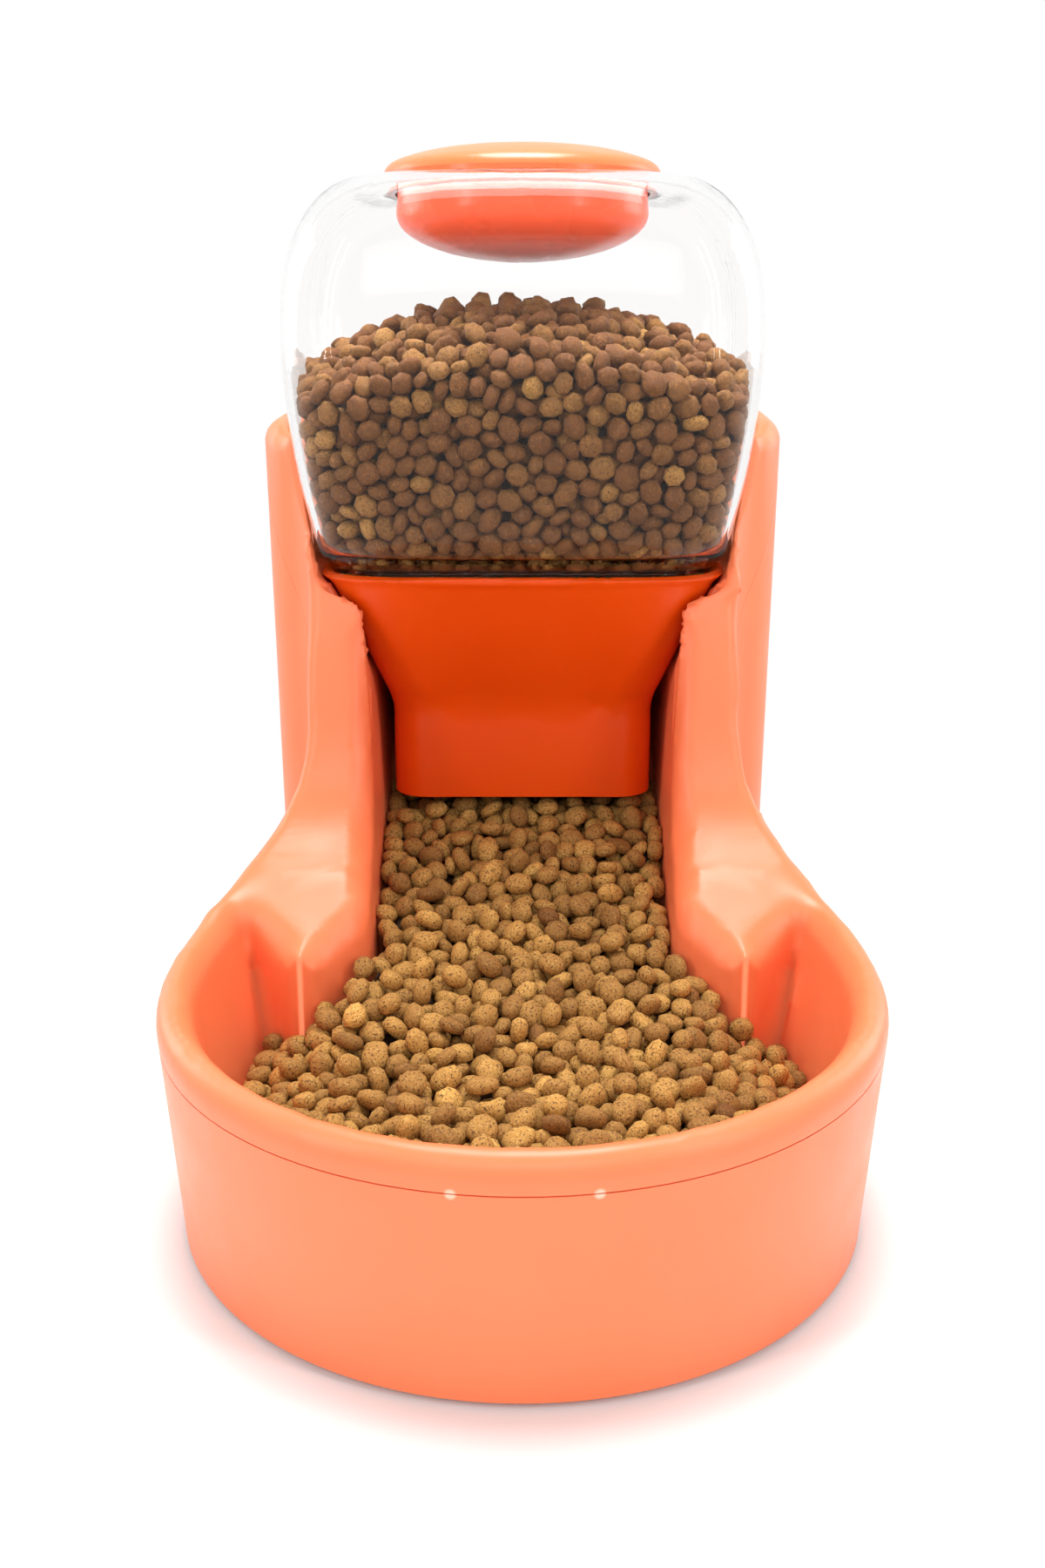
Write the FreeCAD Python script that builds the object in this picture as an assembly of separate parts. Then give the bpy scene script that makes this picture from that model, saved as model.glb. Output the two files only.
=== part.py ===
import FreeCAD, Part
import math
import os

# A gravity pet feeder, in millimetres. The bowl looks towards -Y, X is left and right, Z is up.
# The plan is worked out from the middle of the bowl, and place() moves it so that
# the origin lies on the floor under the middle of the whole feeder.

# Base outline in plan
BOWL_RADIUS = 105.0
FOOT_RADIUS = 100.0
RIM_HEIGHT = 72.0
WAIST_HALF = 66.0
WAIST_FLARE = 6.0
WAIST_RADIUS = 30.0
COLUMN_HALF = 87.0
COLUMN_FLARE = 4.0
COLUMN_BACK = 215.0
BACK_FLARE = 3.0
CORNER_RADIUS = 28.0
BACK_RADIUS = 34.0
COLUMN_TOP = 222.0
PLAN_LOW = -4.0
PLAN_TOP = 240.0

# Walls, feet and joints of the base
WALL = 2.4
SKIRT_BOTTOM = 2.0
PLATE_BOTTOM = 5.0
PLATE_THICKNESS = 2.2
PARTING_GAP = 0.4
LIP_HEIGHT = 4.0
LIP_ROOT = 6.0
LIP_THICKNESS = 1.4
LIP_GAP = 0.15
LIP_POCKET_GAP = 0.4

# Bowl and channel
RIM_WIDTH = 10.0
BOWL_FLOOR_RADIUS = 84.0
BOWL_FLOOR = 12.0
BOWL_FILLET = 12.0
CHANNEL_HALF = 45.0
CHANNEL_FLARE = 7.0
CHANNEL_FLARE_HEIGHT = 150.0
NOSE_X = 68.0
NOSE_Y = 19.0
NOSE_RADIUS = 7.0
SHOULDER_RADIUS = 16.0
RAMP_FOOT = 76.0
RAMP_TOP_Y = 196.0
RAMP_TOP_Z = 112.0
LEDGE_HEIGHT = 171.0

# Clear tank, a rounded box with bowed faces that gathers to a round mouth
TANK_MIDDLE = 142.0
TANK_BOTTOM = 173.5
TANK_FOOT_HALF = 69.5
TANK_HALF = 78.1
TANK_DEPTH_LESS = 6.0
TANK_WALL = 2.2
TANK_FLOOR = 2.6
TANK_EDGE = 5.0
TANK_BELLY = 246.0
TANK_TOP = 298.0
TANK_MOUTH_RING = 48.0
TANK_POWER = 5.5
TANK_SIDE_SHARES = (0.12, 0.3, 0.55, 0.8)
OUTLET_HALF = 58.0
OUTLET_DEPTH_HALF = 49.0
TANK_GAP = 1.0
MOUTH_RADIUS = 43.6

# Hopper that hangs in the column below the tank
HOPPER_FLANGE = TANK_BOTTOM - LEDGE_HEIGHT
HOPPER_WALL = 2.0
HOPPER_TOP_HALF = 66.0
HOPPER_TOP_DEPTH = 59.5
THROAT_HALF = 45.0
THROAT_DEPTH = 32.5
THROAT_MIDDLE = 137.5
THROAT_TOP = 125.0
THROAT_BOTTOM = 92.5
HOPPER_GAP = 1.0
FLANGE_HALF = 68.0
FLANGE_DEPTH = 60.5

# Lid
LID_RADIUS = 46.5
LID_EDGE = 1.6
LID_TOP = 309.0
LID_WALL = 2.0
PLUG_RADIUS = 42.8
PLUG_SKIRT = 288.0
PLUG_BOTTOM = 272.0
PLUG_COLLAR = 3.5

# Screws, posts and feet
POST_RADIUS = 3.75
PILOT_RADIUS = 1.5
PILOT_DEPTH = 12.0
SCREW_RADIUS = 1.4
SCREW_LENGTH = 10.0
SCREW_HOLE_RADIUS = 1.8
SCREW_HEAD_RADIUS = 3.2
SCREW_HEAD_HEIGHT = 2.2
POSTS = [(46.5, -81.0, 60.0), (62.0, 66.0, 104.0), (38.0, 182.0, 104.0)]
FOOT_RADIUS_PAD = 8.0
FEET = {"front": (52.0, -58.0), "rear": (58.0, 180.0)}

# Food
KIBBLE_GAP = 0.4
KIBBLE_PITCH = 6.6
KIBBLE_BUMP = 4.0
FOOD_FRONT = 48.0
FOOD_GATE = 86.0
FOOD_RISE_FROM = -20.0
FOOD_RISE_RUN = 130.0
FOOD_RISE_POWER = 1.3
FOOD_SIDE_FROM = 52.0
FOOD_SIDE_FALL = 0.55
TANK_FOOD_TOP = 259.0
TANK_FOOD_CURVE = 0.0036

V = FreeCAD.Vector


def plan_arc(center, radius, start, end):
    """An arc of a circle in plan, from one angle to the other in degrees."""
    middle = (start + end) / 2
    points = []
    for angle in (start, middle, end):
        turn = math.radians(angle)
        points.append(center + V(radius * math.cos(turn), radius * math.sin(turn), 0))
    return Part.Arc(points[0], points[1], points[2]).toShape()


def angle_of(vector):
    return math.degrees(math.atan2(vector.y, vector.x))


def keyhole(z, inset):
    """Plan outline of the base at a height: bowl circle, hollow waist, then the column."""
    bowl = FOOT_RADIUS + (BOWL_RADIUS - FOOT_RADIUS) * z / RIM_HEIGHT
    waist = WAIST_HALF + WAIST_FLARE * z / COLUMN_TOP
    column = COLUMN_HALF + COLUMN_FLARE * z / COLUMN_TOP
    back = COLUMN_BACK + BACK_FLARE * z / COLUMN_TOP
    waist_x = waist + WAIST_RADIUS
    waist_y = math.sqrt((bowl + WAIST_RADIUS) ** 2 - waist_x ** 2)
    corner_x = column - CORNER_RADIUS
    reach = WAIST_RADIUS + CORNER_RADIUS
    corner_y = waist_y + math.sqrt(reach ** 2 - (waist_x - corner_x) ** 2)
    hollow = V(waist_x, waist_y, z)
    corner = V(corner_x, corner_y, z)
    rear = V(column - BACK_RADIUS, back - BACK_RADIUS, z)
    to_bowl = angle_of(hollow)
    to_waist = angle_of(hollow - corner)
    front = plan_arc(V(0, 0, z), bowl - inset, -180 - to_bowl, to_bowl)
    right = [
        plan_arc(hollow, WAIST_RADIUS + inset, 180 + to_bowl, 180 + to_waist),
        plan_arc(corner, CORNER_RADIUS - inset, to_waist, 0),
        Part.makeLine(V(column - inset, corner_y, z), V(column - inset, rear.y, z)),
        plan_arc(rear, BACK_RADIUS - inset, 0, 90),
    ]
    left = [edge.mirror(V(0, 0, 0), V(1, 0, 0)) for edge in reversed(right)]
    rear_line = Part.makeLine(V(rear.x, back - inset, z), V(-rear.x, back - inset, z))
    return Part.Wire([front] + right + [rear_line] + left)


def base_block(inset):
    """The base as a solid block, drawn in by an inset and far taller than the base itself."""
    return Part.makeLoft([keyhole(PLAN_LOW, inset), keyhole(PLAN_TOP, inset)], True, True)



# Side view curves of the base, as (Y, Z) poles of a smooth curve
RIM_LINE = [(-140, 72), (-50, 72), (10, 73), (46, 82), (72, 98), (80, 122), (86, 158),
            (97, 196), (120, 218), (148, 222), (200, 222), (260, 222)]
NOSE_LINE = [(-20, 60), (14, 60), (34, 74), (58, 92), (73, 108), (77, 135), (82, 175), (90, 250)]
PARTING_LINE = [(-140, 61.5), (-20, 61.5), (40, 64), (80, 86), (101, 120), (114, 152), (131, 184),
                (140, 205), (166, 206), (200, 206), (260, 206)]
SIDE_REACH = 150.0


def under_line(poles, shift_y, shift_z):
    """Everything below a side view curve, carried across the whole width."""
    bottom = 2 * PLAN_LOW
    points = [V(-SIDE_REACH, y + shift_y, z + shift_z) for y, z in poles]
    curve = Part.BSplineCurve()
    curve.buildFromPoles(points, False, 3)
    front = V(-SIDE_REACH, points[0].y, bottom)
    rear = V(-SIDE_REACH, points[-1].y, bottom)
    sides = Part.makePolygon([points[-1], rear, front, points[0]])
    outline = Part.Wire([curve.toShape()] + sides.Edges)
    return Part.Face(outline).extrude(V(2 * SIDE_REACH, 0, 0))


def rounded_polygon(corners, z):
    """A closed wire through (x, y, radius) corners, each rounded by its own radius."""
    edges = []
    count = len(corners)
    starts = []
    ends = []
    arcs = []
    for index, (x, y, radius) in enumerate(corners):
        before = corners[index - 1]
        after = corners[(index + 1) % count]
        here = V(x, y, z)
        to_before = (V(before[0], before[1], z) - here).normalize()
        to_after = (V(after[0], after[1], z) - here).normalize()
        half_angle = to_before.getAngle(to_after) / 2
        if radius == 0:
            starts.append(here)
            ends.append(here)
            arcs.append(None)
            continue
        run = radius / math.tan(half_angle)
        bisector = (to_before + to_after).normalize()
        center = here + bisector * (radius / math.sin(half_angle))
        starts.append(here + to_before * run)
        ends.append(here + to_after * run)
        arcs.append(Part.Arc(starts[-1], center - bisector * radius, ends[-1]).toShape())
    for index in range(count):
        if arcs[index] is not None:
            edges.append(arcs[index])
        edges.append(Part.makeLine(ends[index], starts[(index + 1) % count]))
    return Part.Wire(edges)


def bowl_cut(grow):
    """The round hollow of the bowl, its wall carried straight on upwards past the rim."""
    inner_rim = BOWL_RADIUS - RIM_WIDTH
    slope = (inner_rim - BOWL_FLOOR_RADIUS) / (RIM_HEIGHT - BOWL_FLOOR)
    floor = BOWL_FLOOR - grow
    low = BOWL_FLOOR_RADIUS + grow
    high = low + slope * (PLAN_TOP - floor)
    fillet = BOWL_FILLET + grow
    side = V(high - low, 0, PLAN_TOP - floor).normalize()
    corner = V(low, 0, floor)
    half_angle = V(-1, 0, 0).getAngle(side) / 2
    run = fillet / math.tan(half_angle)
    bisector = (V(-1, 0, 0) + side).normalize()
    center = corner + bisector * (fillet / math.sin(half_angle))
    arc = Part.Arc(corner - V(run, 0, 0), center - bisector * fillet, corner + side * run)
    outline = Part.Wire([
        Part.makeLine(V(0, 0, floor), corner - V(run, 0, 0)),
        arc.toShape(),
        Part.makeLine(corner + side * run, V(high, 0, PLAN_TOP)),
        Part.makeLine(V(high, 0, PLAN_TOP), V(0, 0, PLAN_TOP)),
        Part.makeLine(V(0, 0, PLAN_TOP), V(0, 0, floor)),
    ])
    return Part.Face(outline).revolve(V(0, 0, 0), V(0, 0, 1), 360)


def nose_plan(z, grow):
    """Plan of the buttress between bowl and channel on the right: channel wall, nose, flank."""
    half = channel_half(z) + grow
    tip = NOSE_Y + grow * math.sqrt(2)
    shoulder = tip + NOSE_X - half
    return rounded_polygon([
        (half, COLUMN_BACK, 0),
        (half, shoulder, SHOULDER_RADIUS - grow),
        (NOSE_X, tip, NOSE_RADIUS - grow),
        (SIDE_REACH, tip + SIDE_REACH - NOSE_X, 0),
        (SIDE_REACH, COLUMN_BACK, 0),
    ], z)


def channel_half(z):
    return CHANNEL_HALF + CHANNEL_FLARE * z / CHANNEL_FLARE_HEIGHT


def mirrored(shape):
    return shape.mirror(V(0, 0, 0), V(1, 0, 0))


def buttresses(grow):
    right = Part.makeLoft([nose_plan(0.0, grow), nose_plan(PLAN_TOP, grow)], True, True)
    right = right.common(under_line(NOSE_LINE, grow, -grow))
    return right, mirrored(right)


def channel_cut(grow):
    """The channel from the bowl back under the hopper, over a ramp that rises to the rear."""
    top = LEDGE_HEIGHT - 20
    ends = []
    for z in (0.0, top):
        half = channel_half(z) + grow
        ends.append(Part.makePolygon([
            V(-half, 0, z),
            V(half, 0, z),
            V(half, RAMP_TOP_Y + grow, z),
            V(-half, RAMP_TOP_Y + grow, z),
            V(-half, 0, z),
        ]))
    tube = Part.makeLoft(ends, True, True)
    floor = BOWL_FLOOR - grow
    ramp = Part.Face(Part.makePolygon([
        V(-SIDE_REACH, -1, -1),
        V(-SIDE_REACH, -1, floor),
        V(-SIDE_REACH, RAMP_FOOT, floor),
        V(-SIDE_REACH, RAMP_TOP_Y, RAMP_TOP_Z - grow),
        V(-SIDE_REACH, SIDE_REACH * 2, RAMP_TOP_Z - grow),
        V(-SIDE_REACH, SIDE_REACH * 2, -1),
        V(-SIDE_REACH, -1, -1),
    ])).extrude(V(2 * SIDE_REACH, 0, 0))
    return tube.cut(ramp)



def squircle(half_x, half_y, power, middle_y, z):
    """A closed curve between an ellipse (power 2) and a box (high power)."""
    count = 32
    points = []
    for index in range(count):
        turn = 2 * math.pi * (index + 0.5) / count
        across = abs(math.cos(turn) / half_x) ** power
        along = abs(math.sin(turn) / half_y) ** power
        reach = (across + along) ** (-1 / power)
        points.append(V(reach * math.cos(turn), middle_y + reach * math.sin(turn), z))
    curve = Part.BSplineCurve()
    curve.interpolate(points, True)
    return Part.Wire([curve.toShape()])


def tank_sections(inset, floor):
    """Outline sizes of the tank from its foot to its mouth ring: (z, half_x, half_y, power)."""
    top_half = TANK_MOUTH_RING - inset
    sections = []
    for turn in (0, 45, 90):
        drop = TANK_EDGE * (1 - math.sin(math.radians(turn)))
        draw_in = TANK_EDGE * (1 - math.cos(math.radians(90 - turn)))
        half = TANK_FOOT_HALF - draw_in - inset
        sections.append((TANK_BOTTOM + floor + TANK_EDGE - drop if turn else TANK_BOTTOM + floor,
                         half, half - TANK_DEPTH_LESS, TANK_POWER))
    low = TANK_BOTTOM + TANK_EDGE
    for share in TANK_SIDE_SHARES:
        bow = math.sin(math.radians(90 * share))
        half = TANK_FOOT_HALF + (TANK_HALF - TANK_FOOT_HALF) * bow - inset
        sections.append((low + (TANK_BELLY - low) * share, half, half - TANK_DEPTH_LESS, TANK_POWER))
    reach = TANK_HALF - TANK_MOUTH_RING
    depth_reach = reach - TANK_DEPTH_LESS
    rise = TANK_TOP - inset - TANK_BELLY
    for turn in (0, 20, 40, 58, 74, 90):
        across = math.cos(math.radians(turn)) ** 0.85
        up = math.sin(math.radians(turn)) ** 0.85
        sections.append((TANK_BELLY + rise * up, top_half + reach * across,
                         top_half + depth_reach * across, 2 + (TANK_POWER - 2) * across))
    return sections


def tank_form(inset, floor):
    wires = [squircle(x, y, power, TANK_MIDDLE, z) for z, x, y, power in tank_sections(inset, floor)]
    return Part.makeLoft(wires, True, False)


def tank_pocket(grow):
    """Room for the lower half of the tank in the column: its own outline and a gap all round."""
    spare = TANK_GAP + grow
    foot = TANK_FOOT_HALF + spare
    wires = [squircle(foot, foot - TANK_DEPTH_LESS, TANK_POWER, TANK_MIDDLE, LEDGE_HEIGHT - grow)]
    for z, x, y, power in tank_sections(0.0, 0.0):
        if TANK_BOTTOM + TANK_EDGE <= z <= TANK_BELLY:
            wires.append(squircle(x + spare, y + spare, power, TANK_MIDDLE, z))
    return Part.makeLoft(wires, True, False)


def hopper_form(grow, extra):
    """The tapered part of the hopper, from the ledge down to its throat."""
    return Part.makeLoft([
        squircle(THROAT_HALF + grow, THROAT_DEPTH + grow, 9, THROAT_MIDDLE, THROAT_TOP - extra),
        squircle(HOPPER_TOP_HALF + grow, HOPPER_TOP_DEPTH + grow, 6, TANK_MIDDLE, LEDGE_HEIGHT + extra),
    ], True, True)


def cavity(grow):
    right, left = buttresses(grow)
    room = bowl_cut(grow).cut(right).cut(left)
    room = room.fuse(channel_cut(grow))
    room = room.fuse(hopper_form(HOPPER_GAP + grow, 0.5))
    return room.fuse(tank_pocket(grow))


def cylinder(x, y, radius, bottom, top):
    return Part.makeCylinder(radius, top - bottom, V(x, y, bottom))


def both_sides(x):
    return (-x, x)


def make_deck(room):
    """The upper moulding: rim, bowl, channel, arms and tank pocket, hollow underneath."""
    block = base_block(0.0).common(under_line(RIM_LINE, 0, 0))
    inside = base_block(WALL).common(under_line(RIM_LINE, WALL, -WALL))
    inside = inside.cut(cavity(WALL))
    deck = block.cut(room).cut(inside)
    plate_top = PLATE_BOTTOM + PLATE_THICKNESS
    for x, y, top in POSTS:
        for side in both_sides(x):
            post = cylinder(side, y, POST_RADIUS, plate_top, top)
            deck = deck.fuse(post.common(block).cut(room))
    for x, y, top in POSTS:
        for side in both_sides(x):
            deck = deck.cut(cylinder(side, y, PILOT_RADIUS, plate_top - 1, plate_top + PILOT_DEPTH))
    skirt = base_block(-1.0).cut(base_block(WALL))
    return deck.cut(skirt.common(under_line(PARTING_LINE, 0, 0)))


def make_tub():
    """The lower moulding: outer skirt, a lip inside the parting line and the floor plate."""
    lip_out = WALL + LIP_GAP
    lip_in = lip_out + LIP_THICKNESS
    below = under_line(PARTING_LINE, 0, -PARTING_GAP)
    lip_low = under_line(PARTING_LINE, 0, -LIP_ROOT)
    ring = base_block(0.0).cut(base_block(WALL)).common(below)
    root = base_block(WALL / 2).cut(base_block(lip_in)).common(below).cut(lip_low)
    lip = base_block(lip_out).cut(base_block(lip_in))
    lip = lip.common(under_line(PARTING_LINE, 0, LIP_HEIGHT)).cut(lip_low)
    lip = lip.cut(tank_pocket(WALL + LIP_POCKET_GAP))
    slab = Part.makeBox(400, 600, PLATE_THICKNESS, V(-200, -300, PLATE_BOTTOM))
    plate = base_block(WALL / 2).common(slab)
    for x, y, top in POSTS:
        for side in both_sides(x):
            plate = plate.cut(cylinder(side, y, SCREW_HOLE_RADIUS, 0, 20))
    floor = Part.makeBox(400, 600, 20, V(-200, -300, SKIRT_BOTTOM - 20))
    return ring.fuse(root).fuse(lip).fuse(plate).cut(floor)


def make_hopper():
    flange_low = squircle(FLANGE_HALF, FLANGE_DEPTH, 6, TANK_MIDDLE, LEDGE_HEIGHT)
    flange = Part.Face(flange_low).extrude(V(0, 0, HOPPER_FLANGE))
    sleeve_low = squircle(THROAT_HALF, THROAT_DEPTH, 9, THROAT_MIDDLE, THROAT_BOTTOM)
    sleeve = Part.Face(sleeve_low).extrude(V(0, 0, THROAT_TOP - THROAT_BOTTOM))
    body = hopper_form(0.0, 0.0).fuse(sleeve).fuse(flange)
    bore_low = squircle(THROAT_HALF - HOPPER_WALL, THROAT_DEPTH - HOPPER_WALL, 9, THROAT_MIDDLE,
                        THROAT_BOTTOM - 1)
    bore = Part.Face(bore_low).extrude(V(0, 0, THROAT_TOP - THROAT_BOTTOM + 1.5))
    return body.cut(hopper_form(-HOPPER_WALL, 0.3)).cut(bore).cut(mouth_of_hopper())


def mouth_of_hopper():
    low = squircle(HOPPER_TOP_HALF - HOPPER_WALL, HOPPER_TOP_DEPTH - HOPPER_WALL, 6, TANK_MIDDLE,
                   LEDGE_HEIGHT)
    return Part.Face(low).extrude(V(0, 0, HOPPER_FLANGE + 1))


def make_tank():
    shell = tank_form(0.0, 0.0).cut(tank_form(TANK_WALL, TANK_FLOOR))
    outlet_low = squircle(OUTLET_HALF, OUTLET_DEPTH_HALF, TANK_POWER, TANK_MIDDLE, TANK_BOTTOM - 1)
    outlet = Part.Face(outlet_low).extrude(V(0, 0, TANK_FLOOR + 2))
    mouth = cylinder(0, TANK_MIDDLE, MOUTH_RADIUS, TANK_TOP - 10, TANK_TOP + 1)
    return shell.cut(outlet).cut(mouth)


def dome_line(radius, low, high, count):
    """Points on a shallow dome, from its edge to its middle."""
    points = []
    for index in range(count + 1):
        turn = math.radians(90 * index / count)
        points.append((radius * math.cos(turn), low + (high - low) * math.sin(turn)))
    return points


def revolve_profile(outer, inner, middle_y):
    """A domed shell: spline from edge to axis outside and inside, revolved about the lid axis."""
    def spline(points):
        curve = Part.BSplineCurve()
        curve.interpolate([V(radius, middle_y, z) for radius, z in points])
        return curve.toShape()
    top = spline(outer)
    low = spline(inner)
    start = Part.makeLine(V(inner[0][0], middle_y, inner[0][1]), V(outer[0][0], middle_y, outer[0][1]))
    end = Part.makeLine(V(0, middle_y, outer[-1][1]), V(0, middle_y, inner[-1][1]))
    face = Part.Face(Part.Wire(Part.__sortEdges__([start, top, end, low])))
    return face.revolve(V(0, middle_y, 0), V(0, 0, 1), 360)


def make_lid_cap():
    outer = dome_line(LID_RADIUS, TANK_TOP + LID_EDGE, LID_TOP, 6)
    inner = dome_line(LID_RADIUS - LID_WALL, TANK_TOP + LID_EDGE, LID_TOP - LID_WALL, 6)
    dome = revolve_profile(outer, inner, TANK_MIDDLE)
    rim = cylinder(0, TANK_MIDDLE, LID_RADIUS, TANK_TOP, TANK_TOP + LID_EDGE)
    rim = rim.cut(cylinder(0, TANK_MIDDLE, LID_RADIUS - LID_WALL, TANK_TOP - 1, TANK_TOP + LID_EDGE + 1))
    return dome.fuse(rim)


def make_lid_plug():
    skirt = cylinder(0, TANK_MIDDLE, PLUG_RADIUS, PLUG_SKIRT, TANK_TOP + PLUG_COLLAR)
    skirt = skirt.cut(cylinder(0, TANK_MIDDLE, PLUG_RADIUS - LID_WALL, 0, TANK_TOP + PLUG_COLLAR + 1))
    outer = dome_line(PLUG_RADIUS, PLUG_SKIRT, PLUG_BOTTOM, 6)
    inner = dome_line(PLUG_RADIUS - LID_WALL, PLUG_SKIRT, PLUG_BOTTOM + LID_WALL, 6)
    return skirt.fuse(revolve_profile(outer, inner, TANK_MIDDLE))


def make_screws():
    screws = []
    for x, y, top in POSTS:
        for side in both_sides(x):
            head = cylinder(side, y, SCREW_HEAD_RADIUS, PLATE_BOTTOM - SCREW_HEAD_HEIGHT, PLATE_BOTTOM)
            shank = cylinder(side, y, SCREW_RADIUS, PLATE_BOTTOM - 1, PLATE_BOTTOM + SCREW_LENGTH)
            screws.append(head.fuse(shank))
    return Part.makeCompound(screws)


def make_foot(x, y):
    pad = cylinder(x, y, FOOT_RADIUS_PAD, 0, PLATE_BOTTOM)
    low_edges = [edge for edge in pad.Edges if edge.BoundBox.ZMax < 0.1]
    return pad.makeFillet(1.0, low_edges)


def bumpy_block(x_range, y_range, bottom, level):
    """A block whose top is a field of low six-sided pyramids, one for each piece of food."""
    row_step = KIBBLE_PITCH * math.sqrt(3) / 2
    rows = math.ceil((y_range[1] - y_range[0]) / row_step)
    columns = math.ceil((x_range[1] - x_range[0]) / KIBBLE_PITCH)

    def node(row, column):
        x = x_range[0] + (column + row / 2 - row // 2) * KIBBLE_PITCH
        y = y_range[0] + row * row_step
        peak = (column - row // 2 - row) % 3 == 0
        return V(x, y, level(x, y) + (KIBBLE_BUMP if peak else 0.0))

    grid = [[node(row, column) for column in range(columns + 1)] for row in range(rows + 1)]
    faces = []
    for row in range(rows):
        low, high = grid[row], grid[row + 1]
        for column in range(columns):
            near, next_near = low[column], low[column + 1]
            far, next_far = high[column], high[column + 1]
            if row % 2 == 0:
                triangles = [(near, next_near, far), (next_near, next_far, far)]
            else:
                triangles = [(near, next_far, far), (near, next_near, next_far)]
            for a, b, c in triangles:
                faces.append(Part.Face(Part.makePolygon([a, b, c, a])))
    right_side = [line[-1] for line in grid[1:-1]]
    left_side = [line[0] for line in grid[-2:0:-1]]
    border = grid[0] + right_side + grid[-1][::-1] + left_side
    floor = [V(point.x, point.y, bottom) for point in border]
    for index, top in enumerate(border):
        after = (index + 1) % len(border)
        for a, b, c in ((top, floor[index], floor[after]), (top, floor[after], border[after])):
            faces.append(Part.Face(Part.makePolygon([a, b, c, a])))
    faces.append(Part.Face(Part.makePolygon(floor + [floor[0]])))
    return Part.Solid(Part.Shell(faces))


def bowl_level(x, y):
    """Height of the food: low in the bowl, rising to the gate, and falling off to the sides."""
    back = max(0.0, min(1.0, (y - FOOD_RISE_FROM) / FOOD_RISE_RUN))
    side = max(0.0, abs(x) - FOOD_SIDE_FROM) * max(0.0, y + FOOD_SIDE_FROM) / FOOD_SIDE_FROM
    return FOOD_FRONT + (FOOD_GATE - FOOD_FRONT) * back ** FOOD_RISE_POWER - FOOD_SIDE_FALL * side


def tank_level(x, y):
    """Height of the heap in the tank, a shallow dome under the mouth."""
    return TANK_FOOD_TOP - TANK_FOOD_CURVE * (x * x + (y - TANK_MIDDLE) ** 2)


def make_bowl_food():
    """Food that has run down the ramp, under the throat and out across the bowl."""
    block = bumpy_block((-100.0, 100.0), (-100.0, 170.0), 0.0, bowl_level)
    return block.common(bowl_food_room())


def bowl_food_room():
    right, left = buttresses(-KIBBLE_GAP)
    room = bowl_cut(-KIBBLE_GAP).cut(right).cut(left)
    front = Part.makeBox(400, 300, 200, V(-200, -220, 0))
    return room.common(front).fuse(channel_cut(-KIBBLE_GAP))


def make_tank_food():
    block = bumpy_block((-84.0, 84.0), (60.0, 226.0), TANK_BOTTOM - 20, tank_level)
    return block.common(tank_form(TANK_WALL + KIBBLE_GAP, TANK_FLOOR + KIBBLE_GAP))


def make_hopper_food():
    """Food that fills the hopper between the heap below and the outlet of the tank."""
    low = squircle(THROAT_HALF - HOPPER_WALL - KIBBLE_GAP, THROAT_DEPTH - HOPPER_WALL - KIBBLE_GAP, 9,
                   THROAT_MIDDLE, FOOD_GATE + KIBBLE_BUMP + KIBBLE_GAP)
    column = Part.Face(low).extrude(V(0, 0, THROAT_TOP - low.BoundBox.ZMin + 2))
    return column.fuse(hopper_form(-HOPPER_WALL - KIBBLE_GAP, 0.0))


def place(shape):
    """Moves a shape from the bowl's frame to the feeder's own."""
    back = COLUMN_BACK + BACK_FLARE
    shape.translate(V(0, (BOWL_RADIUS - back) / 2, 0))
    return shape


def save(name, shape):
    place(shape).exportStep("parts/" + name + ".step")


def main():
    os.makedirs("parts", exist_ok=True)
    save("upper_housing", make_deck(cavity(0.0)))
    save("lower_housing", make_tub())
    save("feed_hopper", make_hopper())
    save("food_tank", make_tank())
    save("lid_cap", make_lid_cap())
    save("lid_plug", make_lid_plug())
    save("housing_screws", make_screws())
    for end, (x, y) in FEET.items():
        for side in both_sides(x):
            hand = "left" if side < 0 else "right"
            save("foot_" + end + "_" + hand, make_foot(side, y))
    save("kibble_in_bowl", make_bowl_food())
    save("kibble_in_hopper", make_hopper_food())
    save("kibble_in_tank", make_tank_food())


main()
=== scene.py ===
# %% [markdown]
# # A gravity feeder for dry pet food
#
# The real thing is two coral mouldings that make a bowl, a waist and a column with two arms. A darker
# hopper hangs between the arms, a clear tank stands in it, and a domed lid closes the tank. The tank, the
# hopper and the bowl hold brown pieces of dry food.
#
# The hard parts arrive as a fixed frame, already in place and in metres. This script only dresses them:
# it gives each hard part its finish, pours the food as separate pieces, and sets up the light, the floor
# and the camera. That way the shape stays with the frame, and the looks stay here.

# %% Load the frame
import math

import bmesh
import bpy
import numpy as np
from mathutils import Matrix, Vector
from mathutils.bvhtree import BVHTree
from mathutils.kdtree import KDTree


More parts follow.
